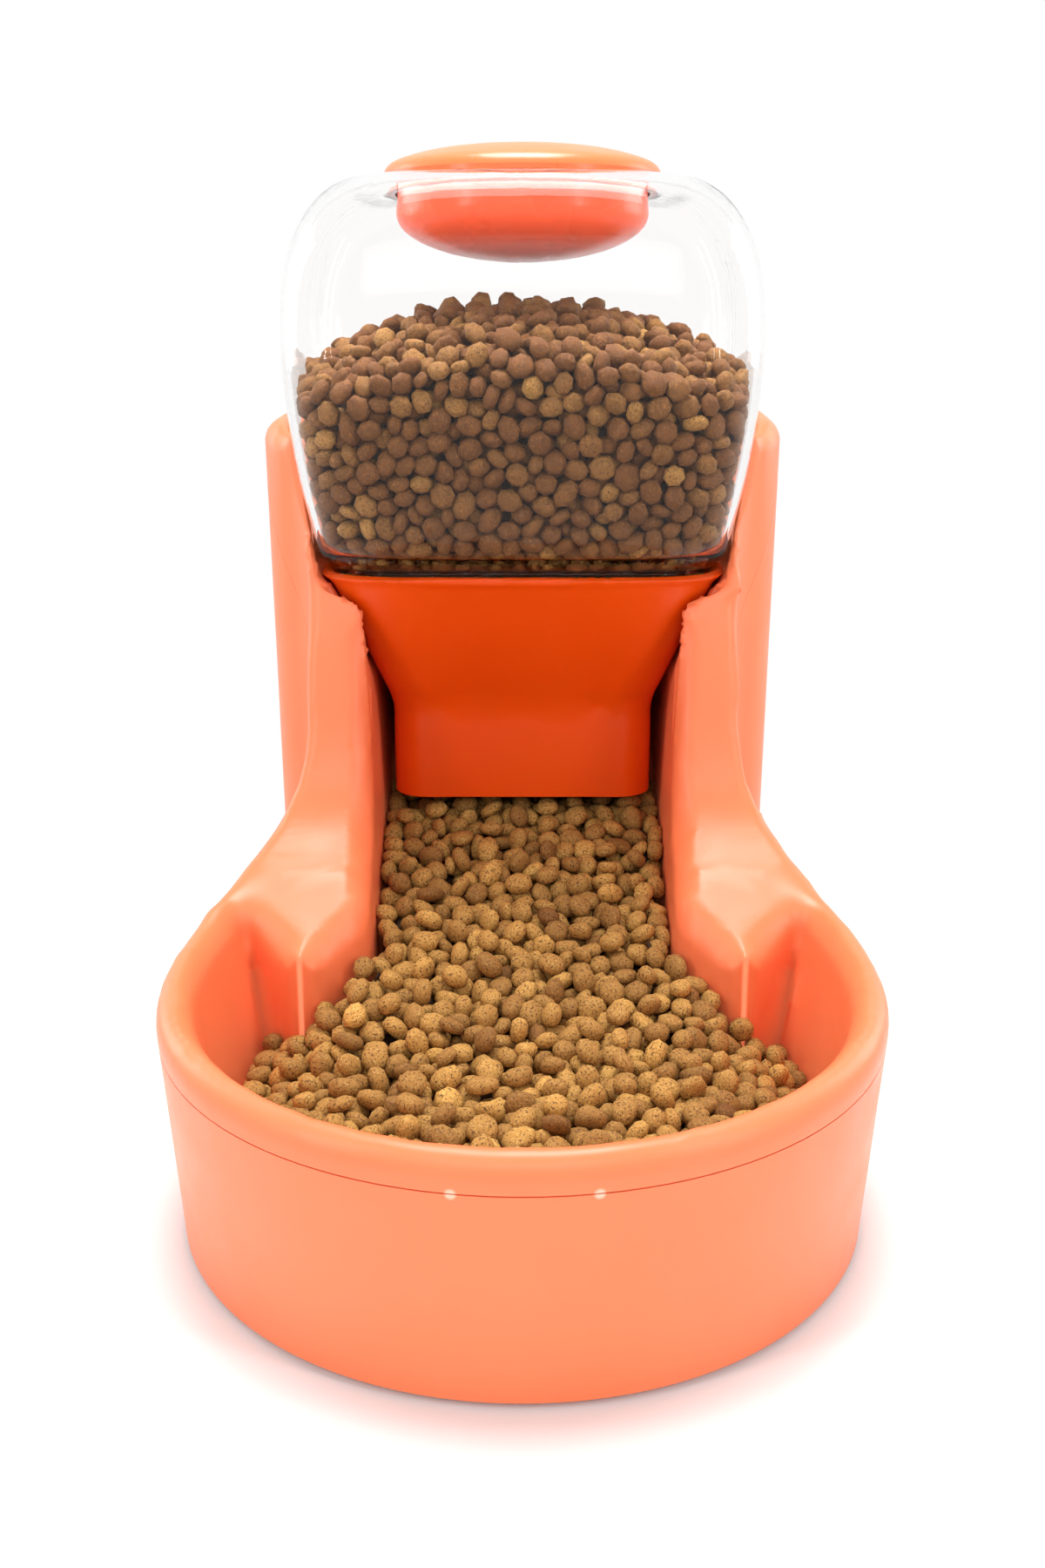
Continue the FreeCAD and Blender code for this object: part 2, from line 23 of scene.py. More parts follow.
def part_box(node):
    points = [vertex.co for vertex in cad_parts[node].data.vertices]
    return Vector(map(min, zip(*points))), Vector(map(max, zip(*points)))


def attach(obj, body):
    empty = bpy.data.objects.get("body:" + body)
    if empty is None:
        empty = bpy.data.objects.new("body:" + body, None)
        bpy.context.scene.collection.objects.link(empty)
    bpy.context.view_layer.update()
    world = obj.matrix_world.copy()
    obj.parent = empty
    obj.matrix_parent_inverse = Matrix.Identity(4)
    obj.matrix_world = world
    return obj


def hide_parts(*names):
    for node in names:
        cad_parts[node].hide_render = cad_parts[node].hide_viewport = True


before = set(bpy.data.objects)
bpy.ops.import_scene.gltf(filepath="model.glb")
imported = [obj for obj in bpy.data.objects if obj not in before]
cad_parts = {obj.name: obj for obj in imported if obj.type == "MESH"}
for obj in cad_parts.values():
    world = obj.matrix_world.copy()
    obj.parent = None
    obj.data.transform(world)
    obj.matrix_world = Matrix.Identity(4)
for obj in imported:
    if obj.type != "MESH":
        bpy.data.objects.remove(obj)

bpy.context.view_layer.update()

# %% [markdown]
# ## Camera
#
# The photograph looks down into the bowl from close in front, so the bowl is large and the lid is small.
# A camera can be placed by eye, or worked out from something whose shape is known. Here the round rim of
# the bowl was used: an ellipse that wide and that high fits one height, one distance and one pitch only.

# %% Camera
CAMERA_PLACE = (0.0, -0.4775, 0.256)
CAMERA_PITCH = 16.8

photo_camera = bpy.data.cameras.new("photo_camera")
photo_camera.lens = 36.0
photo_camera.sensor_width = 36.0
camera = bpy.data.objects.new("photo_camera", photo_camera)
camera.location = CAMERA_PLACE
camera.rotation_euler = (math.radians(90 - CAMERA_PITCH), 0, 0)
bpy.context.scene.collection.objects.link(camera)
bpy.context.scene.camera = camera
print("camera looks", CAMERA_PITCH, "degrees down from", CAMERA_PLACE[2], "m up")

# %% [markdown]
# ## Nodes for the finishes
#
# Every finish here is made of the same few things: a noise that sits still on the part, a ramp that turns
# the noise into colour or gloss, and a bump. Wiring them by hand each time hides what differs, so three
# small helpers do the wiring. The noise reads Object coordinates, in metres, because the parts have no
# flat layout and must look the same from every side.

# %% Helpers for shader nodes
def finish_named(name):
    """A new material, with its node tree, its Principled shader and the place that its noises read."""
    made = bpy.data.materials.new(name)
    made.use_nodes = True
    tree = made.node_tree
    shader = next(n for n in tree.nodes if n.type == "BSDF_PRINCIPLED")
    place = tree.nodes.new("ShaderNodeTexCoord")
    return made, tree, shader, place.outputs["Object"]


def noise(tree, place, per_metre, detail=2.0, roughness=0.5):
    """Noise with per_metre cells to the metre, as a number from 0 to 1."""
    made = tree.nodes.new("ShaderNodeTexNoise")
    made.inputs["Scale"].default_value = per_metre
    made.inputs["Detail"].default_value = detail
    made.inputs["Roughness"].default_value = roughness
    tree.links.new(place, made.inputs["Vector"])
    return made.outputs["Fac"]


def spread(tree, value, low, high, from_low=0.3, from_high=0.7):
    """The value stretched from the range from_low to from_high to the range low to high, and held there."""
    made = tree.nodes.new("ShaderNodeMapRange")
    made.inputs["From Min"].default_value = from_low
    made.inputs["From Max"].default_value = from_high
    made.inputs["To Min"].default_value = low
    made.inputs["To Max"].default_value = high
    tree.links.new(value, made.inputs["Value"])
    return made.outputs["Result"]


def between(tree, factor, first, second):
    """A colour between first and second, each a colour or another node's output."""
    made = tree.nodes.new("ShaderNodeMix")
    made.data_type = "RGBA"
    for slot, colour in ((6, first), (7, second)):
        if isinstance(colour, tuple):
            made.inputs[slot].default_value = (*colour, 1.0)
        else:
            tree.links.new(colour, made.inputs[slot])
    tree.links.new(factor, made.inputs[0])
    return made.outputs[2]


def raised(tree, shader, height, strength, depth):
    """Bump from a height of 0 to 1 that stands depth metres high."""
    made = tree.nodes.new("ShaderNodeBump")
    made.inputs["Strength"].default_value = strength
    made.inputs["Distance"].default_value = depth
    tree.links.new(height, made.inputs["Height"])
    tree.links.new(made.outputs["Normal"], shader.inputs["Normal"])


# %% [markdown]
# ## Moulded plastic
#
# The housing, the hopper and the lid are moulded in satin plastic. It is nearly one colour, but a real
# moulding shows a slight cloud in the colour where it cooled, a fine skin from the tool, and a gloss that
# changes a little from place to place. A plain colour looks like paint, so three noises of very different
# size make those three effects. Light that gets a little way into the plastic warms its thin edges.
#
# Two small pale spots show on the joint between the mouldings, at the front
# of the bowl. They are too small to model, so the coral finish turns pale within a millimetre or so of
# their two places.

# %% Moulded plastic
CLOUDS_PER_METRE = 24.0
GLOSS_PER_METRE = 55.0
GRAINS_PER_METRE = 1900.0
GRAIN_DEPTH = 0.00006
PLASTIC_IOR = 1.5
LIGHT_GOES_IN = 0.0015
# Two small pale spots on the joint at the front of the bowl, painted into the coral colour at these places.
PALE_SPOTS = ((-0.0167, -0.1594, 0.0613), (0.0179, -0.1592, 0.0613))
PALE_SPOT_RADIUS = 0.0017
PALE_SPOT_COLOUR = (1.0, 0.56, 0.40)


def with_pale_spots(tree, place, colour, places):
    """The colour with a pale spot at each place: full within half the radius, gone at the whole radius."""
    for spot in places:
        away = tree.nodes.new("ShaderNodeVectorMath")
        away.operation = "DISTANCE"
        away.inputs[1].default_value = spot
        tree.links.new(place, away.inputs[0])
        fade = spread(tree, away.outputs["Value"], 1.0, 0.0, PALE_SPOT_RADIUS * 0.5, PALE_SPOT_RADIUS)
        colour = between(tree, fade, colour, PALE_SPOT_COLOUR)
    return colour


def moulded_plastic(name, colour, deep, gloss_low, gloss_high, shine=0.5, pale_spots=()):
    """Satin plastic: colour clouds towards deep over 4 cm, and a skin of half-millimetre grain."""
    made, tree, shader, place = finish_named(name)
    cloud = spread(tree, noise(tree, place, CLOUDS_PER_METRE, 3.0), 0.0, 1.0)
    grain = noise(tree, place, GRAINS_PER_METRE, 2.0, 0.6)
    clouded = between(tree, cloud, colour, deep)
    tree.links.new(with_pale_spots(tree, place, clouded, pale_spots), shader.inputs["Base Color"])
    gloss = spread(tree, noise(tree, place, GLOSS_PER_METRE, 4.0), gloss_low, gloss_high)
    tree.links.new(gloss, shader.inputs["Roughness"])
    raised(tree, shader, grain, 0.12, GRAIN_DEPTH)
    shader.inputs["IOR"].default_value = PLASTIC_IOR
    shader.inputs["Specular IOR Level"].default_value = shine
    shader.inputs["Subsurface Weight"].default_value = 0.08
    shader.inputs["Subsurface Radius"].default_value = (0.9, 0.35, 0.15)
    shader.inputs["Subsurface Scale"].default_value = LIGHT_GOES_IN
    return made


CORAL, CORAL_DEEP = (0.97, 0.225, 0.090), (0.96, 0.210, 0.078)
ORANGE, ORANGE_DEEP = (0.74, 0.070, 0.002), (0.70, 0.060, 0.001)
CAP_CORAL, CAP_DEEP = (0.97, 0.205, 0.060), (0.95, 0.190, 0.052)
# The plug is the same moulding as the cap. Its deeper red is painted shade, for the plug lies in shade inside
# the top of the tank.
PLUG_SHADED_RED, PLUG_SHADED_DEEP = (0.93, 0.105, 0.030), (0.90, 0.095, 0.025)

coral_finish = moulded_plastic("coral_moulding", CORAL, CORAL_DEEP, 0.34, 0.44, 0.45, PALE_SPOTS)
hopper_finish = moulded_plastic("hopper_moulding", ORANGE, ORANGE_DEEP, 0.28, 0.38, 0.25)
lid_finish = moulded_plastic("lid_moulding", CAP_CORAL, CAP_DEEP, 0.26, 0.36)
# A shaded copy of the lid's plastic: painted shade on the plug.
plug_painted_shade_finish = moulded_plastic("plug_moulding_painted_shade", PLUG_SHADED_RED, PLUG_SHADED_DEEP, 0.22, 0.32, 0.3)
print("four moulded finishes")

# %% [markdown]
# ## Clear plastic
#
# The tank is blown or moulded in a clear, colourless plastic about 2 mm thick. Because the frame's tank
# has a real inner and outer wall, a refracting shader gives its bright edges and dark rims by itself. Lamps
# can't shine through a refracting wall without very long renders, so rays on their way to a lamp see plain
# clear film instead, and the food inside is lit as it is in daylight. Slow waves in the surface bend the
# reflections a little, as in any moulded wall. The index of refraction is lower than the real plastic's:
# in a white studio the real one would mirror so much white that the food behind it looked grey.

# %% Clear plastic
TANK_IOR = 1.24
WAVES_PER_METRE = 30.0
WAVE_DEPTH = 0.0006
HAZE_PER_METRE = 70.0
MOST_HAZE = 0.012


def clear_plastic(name):
    """Refracting plastic for every ray but those to lamps, which pass through a clear film."""
    made, tree, shader, place = finish_named(name)
    shader.inputs["Base Color"].default_value = (0.99, 0.985, 0.98, 1.0)
    shader.inputs["Transmission Weight"].default_value = 1.0
    shader.inputs["IOR"].default_value = TANK_IOR
    haze = spread(tree, noise(tree, place, HAZE_PER_METRE, 4.0), 0.0, MOST_HAZE)
    tree.links.new(haze, shader.inputs["Roughness"])
    raised(tree, shader, noise(tree, place, WAVES_PER_METRE, 1.0), 0.08, WAVE_DEPTH)
    film = tree.nodes.new("ShaderNodeBsdfTransparent")
    film.inputs["Color"].default_value = (0.93, 0.93, 0.93, 1.0)
    path = tree.nodes.new("ShaderNodeLightPath")
    either = tree.nodes.new("ShaderNodeMixShader")
    tree.links.new(path.outputs["Is Shadow Ray"], either.inputs[0])
    tree.links.new(shader.outputs[0], either.inputs[1])
    tree.links.new(film.outputs[0], either.inputs[2])
    output = next(n for n in tree.nodes if n.type == "OUTPUT_MATERIAL")
    tree.links.new(either.outputs[0], output.inputs["Surface"])
    return made


tank_finish = clear_plastic("clear_tank_wall")
print("clear finish with an index of refraction of", TANK_IOR)

# %% [markdown]
# ## Screws and feet
#
# Six steel screws hold the two mouldings together from below, and four dark rubber pads stand under the
# floor plate. Nobody sees them in the photograph, but they are seen when the feeder is turned over. The
# steel is turned metal with fine scratches, and the rubber is dull with a dusty skin.

# %% Screw steel and foot rubber
PATCHES_PER_METRE = 180.0
WEAR_PER_METRE = 420.0
STEEL, STEEL_WORN = (0.62, 0.62, 0.60), (0.50, 0.50, 0.49)
RUBBER, RUBBER_DUSTY = (0.045, 0.043, 0.042), (0.07, 0.068, 0.065)


def plain_finish(name, colour, worn, metal, rough_low, rough_high, per_metre, depth):
    """A colour with worn patches, a gloss that varies, and a grain of per_metre cells to the metre."""
    made, tree, shader, place = finish_named(name)
    patch = spread(tree, noise(tree, place, PATCHES_PER_METRE, 3.0), 0.0, 1.0)
    tree.links.new(between(tree, patch, colour, worn), shader.inputs["Base Color"])
    wear = spread(tree, noise(tree, place, WEAR_PER_METRE, 3.0), rough_low, rough_high)
    tree.links.new(wear, shader.inputs["Roughness"])
    shader.inputs["Metallic"].default_value = metal
    raised(tree, shader, noise(tree, place, per_metre), 0.4, depth)
    return made


screw_finish = plain_finish("screw_steel", STEEL, STEEL_WORN, 1.0, 0.28, 0.45, 2500.0, 0.00004)
foot_finish = plain_finish("foot_rubber", RUBBER, RUBBER_DUSTY, 0.0, 0.7, 0.9, 1400.0, 0.00008)
print("steel and rubber finishes")

# %% [markdown]
# ## Dress the frame
#
# A hard part keeps its mesh and only takes a better finish in its own material slot. The list says which
# part wears which finish.

# %% Give each hard part its finish
WEARS = {
    "upper_housing": coral_finish,
    "lower_housing": coral_finish,
    "feed_hopper": hopper_finish,
    "food_tank": tank_finish,
    "lid_cap": lid_finish,
    "lid_plug": plug_painted_shade_finish,
    "housing_screws": screw_finish,
    "foot_front_left": foot_finish,
    "foot_front_right": foot_finish,
    "foot_rear_left": foot_finish,
    "foot_rear_right": foot_finish,
}
for node, worn in WEARS.items():
    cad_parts[node].material_slots[0].material = worn
print(len(WEARS), "hard parts dressed")

# %% [markdown]
# ## Rounded edges
#
# Nothing on the real mouldings ends in a sharp edge: the rim is rolled over, and the arms and buttresses
# have soft shoulders. The frame's parts have the right faces, but sharp edges between them. A Bevel
# modifier would round a mesh of tidy squares, but these faces are long thin triangles. So the edges are
# worn round as a stone is in a stream. First the mesh is split finely near each sharp edge. Then each
# point near an edge moves a little towards the middle of its neighbours, again and again, and the more
# the nearer it lies to the edge. Points further off stay where they are, so the form doesn't change. A thin
# wall has two edges a few millimetres apart. It would be worn to a knife, so its edges get a short reach.

# %% Round the edges of the housing and the hopper
SHARP_ANGLE = 0.45
FACING_DOWN = -0.35
SAME_POINT = 1e-6
MARK_STEP = 0.0005
STRIP_WIDTHS = (0.0012, 0.0018, 0.0024, 0.0030, 0.0036)
BESIDE = 0.0004
THIN_REACH = 0.0011
FULL_NEAR = 1.5
SPLIT_ROUNDS = 8
LONGEST_EDGE = 0.0024
WORN_ROUNDS = 60
SMOOTH_BELOW = math.radians(40)


def sharp_edges(work, hollow_too, lowest):
    """Edges above lowest that stand out from the part, and hollow ones if asked, but none underneath."""
    found = []
    for edge in work.edges:
        turn = edge.calc_face_angle_signed(0.0)
        seen = min(face.normal.z for face in edge.link_faces) > FACING_DOWN or hollow_too
        if (abs(turn) if hollow_too else turn) > SHARP_ANGLE and seen and edge.verts[0].co.z > lowest:
            found.append(edge)
    return found


def marks_along(sharp, reach):
    """Marks every MARK_STEP along the sharp edges, in a tree, and each mark's reach. An edge is thin where
    another sharp edge runs beside it, one of STRIP_WIDTHS away across one of its two faces."""
    first = np.array([edge.verts[0].co[:] for edge in sharp])
    second = np.array([edge.verts[1].co[:] for edge in sharp])
    counts = (np.linalg.norm(second - first, axis=1) / MARK_STEP).astype(int) + 2
    owner = np.repeat(np.arange(len(sharp)), counts)
    share = np.concatenate([np.linspace(0, 1, count) for count in counts])[:, None]
    marks = first[owner] * (1 - share) + second[owner] * share
    near = KDTree(len(marks))
    for i, mark in enumerate(marks.tolist()):
        near.insert(mark, i)
    near.balance()
    reaches = np.full(len(sharp), reach)
    for i, edge in enumerate(sharp):
        middle = (edge.verts[0].co + edge.verts[1].co) / 2
        along = (edge.verts[1].co - edge.verts[0].co).normalized()
        for face in edge.link_faces:
            across = along.cross(face.normal).normalized()
            if across.dot(face.calc_center_median() - middle) < 0:
                across = -across
            if any(near.find(middle + across * width)[2] < BESIDE for width in STRIP_WIDTHS):
                reaches[i] = THIN_REACH
    return near, reaches[owner]


def nearness(near, reaches, place):
    """1 on a sharp edge, falling to 0 where the nearest edge's reach ends."""
    _, mark, far = near.find(place)
    return 1 - far / reaches[mark]


def split_near(work, near, reaches):
    """Halves each edge longer than LONGEST_EDGE within reach of a sharp edge, SPLIT_ROUNDS times over."""
    for _ in range(SPLIT_ROUNDS):
        close = {vert: nearness(near, reaches, vert.co) > 0 for vert in work.verts}
        long = [edge for edge in work.edges if edge.calc_length() > LONGEST_EDGE and
                (close[edge.verts[0]] or close[edge.verts[1]] or
                 nearness(near, reaches, (edge.verts[0].co + edge.verts[1].co) / 2) > 0)]
        bmesh.ops.subdivide_edges(work, edges=long, cuts=1)
        bmesh.ops.triangulate(work, faces=[face for face in work.faces if len(face.verts) > 3])


def relax(points, pairs, weight):
    """Moves each point by half its weight towards the mean of its neighbours, WORN_ROUNDS times."""
    pairs = pairs[(weight[pairs] > 0).any(axis=1)]
    here, there = np.concatenate([pairs[:, 0], pairs[:, 1]]), np.concatenate([pairs[:, 1], pairs[:, 0]])
    number = np.maximum(np.bincount(here, minlength=len(points)), 1)
    for _ in range(WORN_ROUNDS):
        mean = np.stack([np.bincount(here, points[there, k], len(points)) for k in range(3)], axis=1)
        points = points + 0.5 * weight[:, None] * (mean / number[:, None] - points)
    return points


def rounded(node, name, reach, hollow_too, lowest):
    """A copy of a hard part, its sharp edges above lowest worn round over reach metres on each side."""
    work = bmesh.new()
    work.from_mesh(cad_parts[node].data)
    bmesh.ops.remove_doubles(work, verts=work.verts, dist=SAME_POINT)
    near, reaches = marks_along(sharp_edges(work, hollow_too, lowest), reach)
    split_near(work, near, reaches)
    work.verts.index_update()
    points = np.array([vert.co[:] for vert in work.verts])
    weight = np.clip([FULL_NEAR * nearness(near, reaches, vert.co) for vert in work.verts], 0, 1)
    pairs = np.array([[vert.index for vert in edge.verts] for edge in work.edges])
    points = relax(points, pairs, weight)
    mesh = bpy.data.meshes.new(name)
    work.to_mesh(mesh)
    work.free()
    mesh.vertices.foreach_set("co", points.ravel())
    mesh.shade_smooth()
    mesh.set_sharp_from_angle(angle=SMOOTH_BELOW)
    made = bpy.data.objects.new(name, mesh)
    made.data.materials.append(WEARS[node])
    bpy.context.scene.collection.objects.link(made)
    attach(made, "base")
    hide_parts(node)
    thin = (reaches == THIN_REACH).mean()
    print(name, "has", len(mesh.polygons), "triangles,", round(100 * thin), "percent of its edges are thin")
    return made


soft_housing = rounded("upper_housing", "rounded_upper_housing", 0.0075, False, 0.068)
soft_hopper = rounded("feed_hopper", "rounded_feed_hopper", 0.006, True, 0.10)

# %% [markdown]
# ## Dry food: the finish
#
# Each piece of dry food is baked crumb: tan to brown, dull, with darker specks, pale crumbs and a rough
# skin, and no two pieces are the same brown. A number called tone is stored on each piece, and the finish
# reads it to pick that piece's brown. Noise at about 3 mm toasts it unevenly, and noise at 0.7 and 0.6 mm
# adds specks and crumbs. A tone below 0 marks the core under the pieces, and the finish turns it near black:
# painted shade for the deep gaps between the pieces.

# %% Finish of the food
DARK_BROWN, LIGHT_BROWN = (0.105, 0.032, 0.003), (0.66, 0.355, 0.082)
# The third colour here is painted shade: the near-black core under the pieces stands for the deep gaps
# between them.
TOASTED, SPECK, CORE_PAINTED_SHADE = (0.28, 0.095, 0.012), (0.09, 0.030, 0.006), (0.040, 0.015, 0.005)
DARK_CRUMB, LIGHT_CRUMB = (0.28, 0.105, 0.014), (0.84, 0.54, 0.17)
TOAST_PER_METRE = 330.0
SPECKS_PER_METRE = 1500.0
CRUMBS_PER_METRE = 1700.0
PITS_PER_METRE = 1100.0
PIT_DEPTH = 0.0006


def food_finish(name):
    """Baked crumb: the piece's tone picks its brown, and noise adds specks, crumbs and pits."""
    made, tree, shader, place = finish_named(name)
    stored = tree.nodes.new("ShaderNodeAttribute")
    stored.attribute_name = "tone"
    tone = stored.outputs["Fac"]
    toast_here = spread(tree, noise(tree, place, TOAST_PER_METRE, 2.0), 0.0, 0.30)
    speck_here = spread(tree, noise(tree, place, SPECKS_PER_METRE, 2.0), 0.0, 0.85, 0.54, 0.64)
    crumb_here = spread(tree, noise(tree, place, CRUMBS_PER_METRE, 1.0), 0.0, 0.65, 0.58, 0.68)
    toast = between(tree, toast_here, between(tree, tone, DARK_BROWN, LIGHT_BROWN), TOASTED)
    specks = between(tree, speck_here, toast, SPECK)
    crumbs = between(tree, crumb_here, specks, between(tree, tone, DARK_CRUMB, LIGHT_CRUMB))
    # Tones below 0 turn the colour near black: painted shade on the core under the pieces.
    core_shaded = between(tree, spread(tree, tone, 1.0, 0.0, -0.5, 0.0), crumbs, CORE_PAINTED_SHADE)
    tree.links.new(core_shaded, shader.inputs["Base Color"])
    tree.links.new(spread(tree, noise(tree, place, 900.0), 0.62, 0.85), shader.inputs["Roughness"])
    raised(tree, shader, noise(tree, place, PITS_PER_METRE, 4.0, 0.65), 0.8, PIT_DEPTH)
    shader.inputs["IOR"].default_value = 1.4
    return made


crumb_finish = food_finish("food_crumb")
print("one finish for all the food")

# %% [markdown]
# ## Dry food: one piece
#
# A piece is a small pillow, about 9 mm long, 8 mm wide and 5 mm thick, and never quite even. Thousands are
# needed, so each has only a few dozen faces. One pillow is worked out as rings between two poles, and every
# piece is that pillow, stretched, dented and turned in one array step. Filling a whole heap would take ten
# thousand pieces that nobody sees, so only its outer layers are pieces, and a dark core lies under them.
# The core's near-black colour is painted shade for the deep gaps between the pieces.

# %% One pillow, and many pieces from it
FULLNESS = 0.8
WAVE_NUMBER = 1.5
DENT = 0.045
TONE_SPREAD = 0.16
DARKEST_TONE = 0.02
# The core's tone, which the finish turns near black as painted shade.
CORE_SHADE_TONE = -1.0
CORE_INSET = 0.0080
CORE_DROP = 0.0020


def pillow(sectors, rings):
    """Points of one pillow of radius 1: ring k of rings stands at latitude t = pi (k + 1) / (rings + 1), at
    height cos(t) and radius sin(t), both to the power FULLNESS, so that the sides are fuller than a ball's.
    Returns the points, with the poles last, the quads between the rings, and the triangles at the poles."""
    latitude = np.pi * (np.arange(rings) + 1) / (rings + 1)
    around = 2 * np.pi * np.arange(sectors) / sectors
    radius = np.sin(latitude) ** FULLNESS
    height = np.sign(np.cos(latitude)) * np.abs(np.cos(latitude)) ** FULLNESS
    ring = np.stack([np.outer(radius, np.cos(around)), np.outer(radius, np.sin(around)),
                     np.outer(height, np.ones(sectors))], axis=2).reshape(-1, 3)
    points = np.vstack([ring, [[0, 0, 1], [0, 0, -1]]])
    step = np.arange(sectors)
    after = (step + 1) % sectors
    row = np.arange(rings - 1)[:, None] * sectors
    below = row + sectors
    quads = np.stack([row + step, below + step, below + after, row + after], axis=2).reshape(-1, 4)
    last = (rings - 1) * sectors
    top, bottom = rings * sectors, rings * sectors + 1
    upper = np.stack([np.full(sectors, top), step, after], axis=1)
    lower = np.stack([np.full(sectors, bottom), last + after, last + step], axis=1)
    return points, quads, np.vstack([upper, lower])


def turned_to(axes, spin):
    """Rotation matrices whose third column is each axis, with the other two turned round it by spin."""
    helper = np.where(np.abs(axes[:, 2:3]) < 0.9, [[0.0, 0.0, 1.0]], [[1.0, 0.0, 0.0]])
    first = np.cross(helper, axes)
    first /= np.linalg.norm(first, axis=1, keepdims=True)
    second = np.cross(axes, first)
    cos, sin = np.cos(spin)[:, None], np.sin(spin)[:, None]
    return np.stack([cos * first + sin * second, cos * second - sin * first, axes], axis=2)


def core_under(heap):
    """The heap's skin drawn inwards: each point less its outward direction times CORE_INSET, and lowered by
    CORE_DROP so that its edge stays under the pieces. Returns the points and the faces."""
    work = bmesh.new()
    work.from_mesh(heap)
    bmesh.ops.remove_doubles(work, verts=work.verts, dist=SAME_POINT)
    joined = bpy.data.meshes.new("core")
    work.to_mesh(joined)
    work.free()
    skin, outward = np.empty(len(joined.vertices) * 3), np.empty(len(joined.vertices) * 3)
    joined.vertices.foreach_get("co", skin)
    joined.vertices.foreach_get("normal", outward)
    skin = (skin - outward * CORE_INSET).reshape(-1, 3)
    skin[:, 2] = np.maximum(skin[:, 2] - CORE_DROP, skin[:, 2].min())
    faces = [tuple(face.vertices) for face in joined.polygons]
    bpy.data.meshes.remove(joined)
    return skin, faces


def food_mesh(name, heap, centres, turns, sizes, sectors, rings, middle_tone_and_shade, rng):
    """One mesh of many pillows and the core under them. Point p of piece i is
    centre_i + turn_i (size_i * p * (1 + dents)), where the dents are three slow sine waves in directions
    of the piece's own. The core goes under them all, with a tone that paints it near black as shade for the
    deep gaps, so that nobody looks through the heap."""
    base, quads, ends = pillow(sectors, rings)
    count, corners = len(centres), len(base)
    waves = rng.normal(size=(count, 3, 3)) * WAVE_NUMBER
    shift = rng.uniform(0, 2 * np.pi, (count, 1, 3))
    dents = DENT * np.sin(np.einsum("pk,nkw->npw", base, waves) + shift).sum(axis=2, keepdims=True)
    local = base[None] * sizes[:, None, :] * (1 + dents)
    points = centres[:, None, :] + np.einsum("nij,npj->npi", turns, local)
    offset = (np.arange(count) * corners)[:, None, None]
    faces = (quads[None] + offset).reshape(-1, 4).tolist() + (ends[None] + offset).reshape(-1, 3).tolist()
    core, core_faces = core_under(heap)
    faces += [[count * corners + corner for corner in face] for face in core_faces]
    mesh = bpy.data.meshes.new(name)
    mesh.from_pydata(np.vstack([points.reshape(-1, 3), core]).tolist(), [], faces)
    mesh.shade_smooth()
    tone = mesh.attributes.new("tone", "FLOAT", "POINT")
    browns = np.clip(rng.normal(middle_tone_and_shade, TONE_SPREAD, count), DARKEST_TONE, 1.0)
    tones = np.concatenate([np.repeat(browns, corners), np.full(len(core), CORE_SHADE_TONE)])
    tone.data.foreach_set("value", tones.astype(np.float32))
    return mesh


# %% [markdown]
# ## Dry food: pouring it
#
# Food could be dropped in with a physics simulation, but thousands of bodies are slow and come out a
# little different each time. The frame already has three plain heaps whose skins are where the food ends,
# so each heap is filled with centres thrown in at random. Then, over and over, all pieces drift a little
# towards the skin, neighbours that overlap push each other apart, and pieces that stick out through the
# skin are pushed back in, until they lie close together. Centres on a lattice were tried first, but their
# rows could be seen. A piece against the clear wall turns its flat side to it, as real pieces do.

# %% Pour food into a heap
PIECE_HALF = np.array([0.0044, 0.0038, 0.0025])
ROOM = 5.6
SEEN_DEPTH = 0.0125
ROUNDS = 60
DRIFT = 0.00012
UP = np.array([0.0, 0.0, 1.0])
LOOK_WITHIN = 2.3
TOUCH = 0.97
PUSH = 0.35
SKIN_GAP = 0.0002
LONGEST_PUSH = 0.003
DEEP_AT_FIRST, DEEP_AT_LAST = 0.6, 0.5
SHAPE_SPREAD, SIZE_SPREAD = 0.08, 0.06
FLAT_PULL, FLAT_LOOSE = 3.0, 0.55


def skin_depth(tree, points):
    """How deep each point lies under the heap's skin, and the skin's outward direction there."""
    depth, outward = np.empty(len(points)), np.empty((len(points), 3))
    for i, point in enumerate(points.tolist()):
        place, normal, _, _ = tree.find_nearest(point)
        outward[i] = normal
        depth[i] = sum((place[k] - point[k]) * normal[k] for k in range(3))
    return depth, outward


def rise_to_skin(tree, points):
    """How far above each point the skin is first met, and whether the point lies inside: a line straight
    up out of a closed skin crosses it an odd number of times."""
    rise, inside = np.full(len(points), np.inf), np.zeros(len(points), bool)
    for i, point in enumerate(points.tolist()):
        place = tree.ray_cast(point, UP)[0]
        while place is not None:
            rise[i] = min(rise[i], place[2] - point[2])
            inside[i] = not inside[i]
            place = tree.ray_cast((place[0], place[1], place[2] + SAME_POINT), UP)[0]
    return rise, inside


def extent(turns, sizes, direction):
    """How far a pillow reaches from its centre along a direction: the length of size * (direction as the
    pillow sees it, which is turn^T direction)."""
    return np.linalg.norm(np.einsum("nij,ni->nj", turns, direction) * sizes, axis=1)


def neighbours(points, within):
    """Pairs of points closer than within, from the whole table of squared distances."""
    square = (points ** 2).sum(1)
    table = square[:, None] + square[None, :] - 2 * points @ points.T
    first, second = np.nonzero(np.triu(table < within * within, 1))
    return first, second


